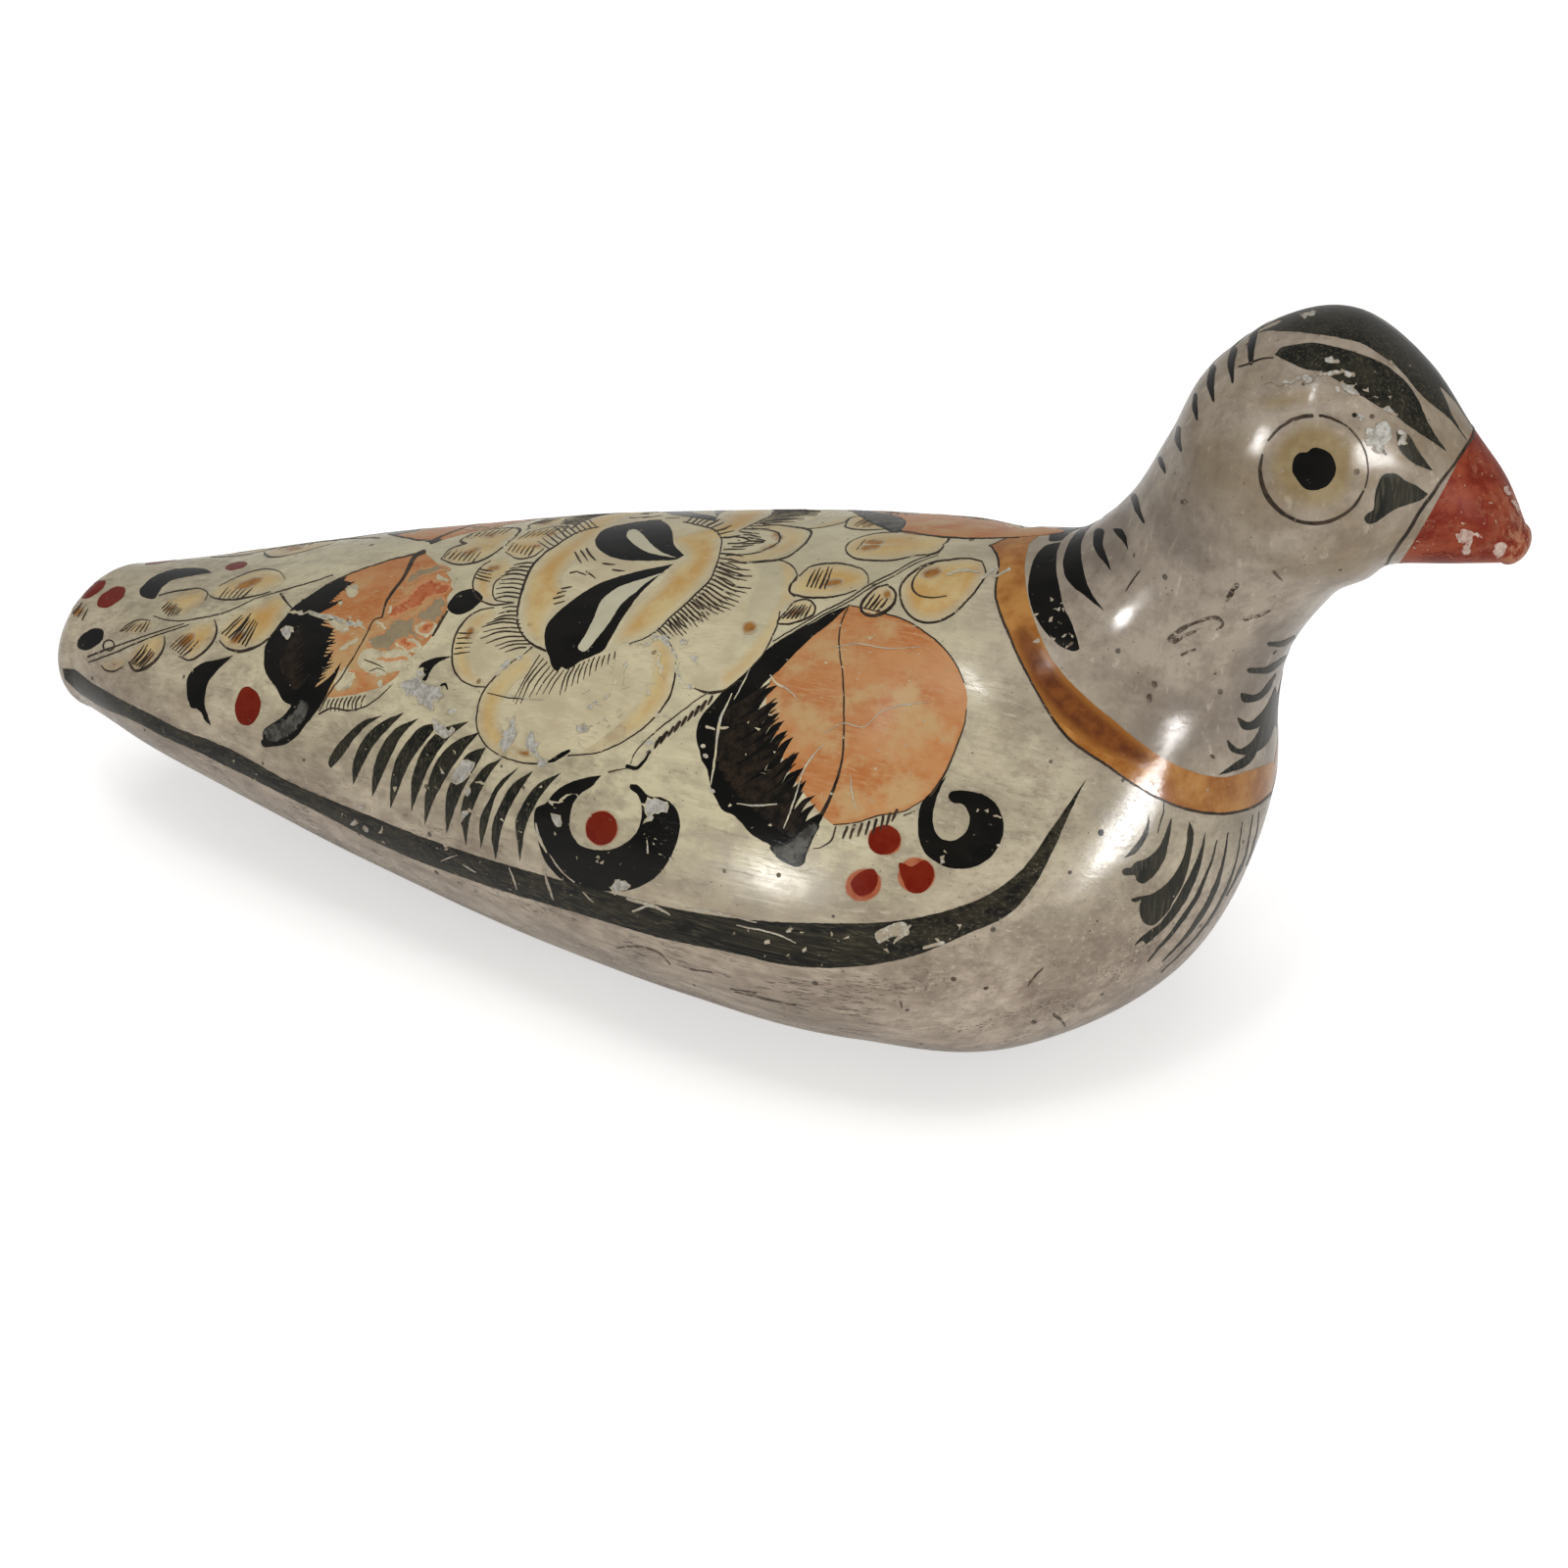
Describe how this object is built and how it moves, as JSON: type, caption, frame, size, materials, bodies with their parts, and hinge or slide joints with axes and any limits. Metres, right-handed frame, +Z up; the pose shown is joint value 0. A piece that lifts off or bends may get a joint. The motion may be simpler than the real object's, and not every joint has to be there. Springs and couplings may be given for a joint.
{
  "type": "pottery bird figurine",
  "caption": "Hollow earthenware dove that rests on its belly, pressed in moulded halves and luted together.",
  "frame": {"origin": "under the middle of the bird's length and width, on the surface it rests on", "axes": "+X along the bird towards the beak, +Y to its left, +Z up"},
  "size_m": [0.2992, 0.1218, 0.1461],
  "materials": {
    "cream_slip": "burnished cream slip with painted slip ornament",
    "grey_slip": "burnished greyish slip with painted slip ornament",
    "red_slip": "burnished brick-red slip",
    "bare_clay": "matt fired clay"
  },
  "bodies": {
    "root": {"back_shell": "cream_slip", "belly_shell": "grey_slip", "head_right_half": "cream_slip", "head_left_half": "cream_slip", "beak": "red_slip", "body_seam_coil": "bare_clay", "neck_seam_coil": "bare_clay", "crown_seam_coil": "bare_clay", "throat_seam_coil": "bare_clay"}
  },
  "joints": []
}
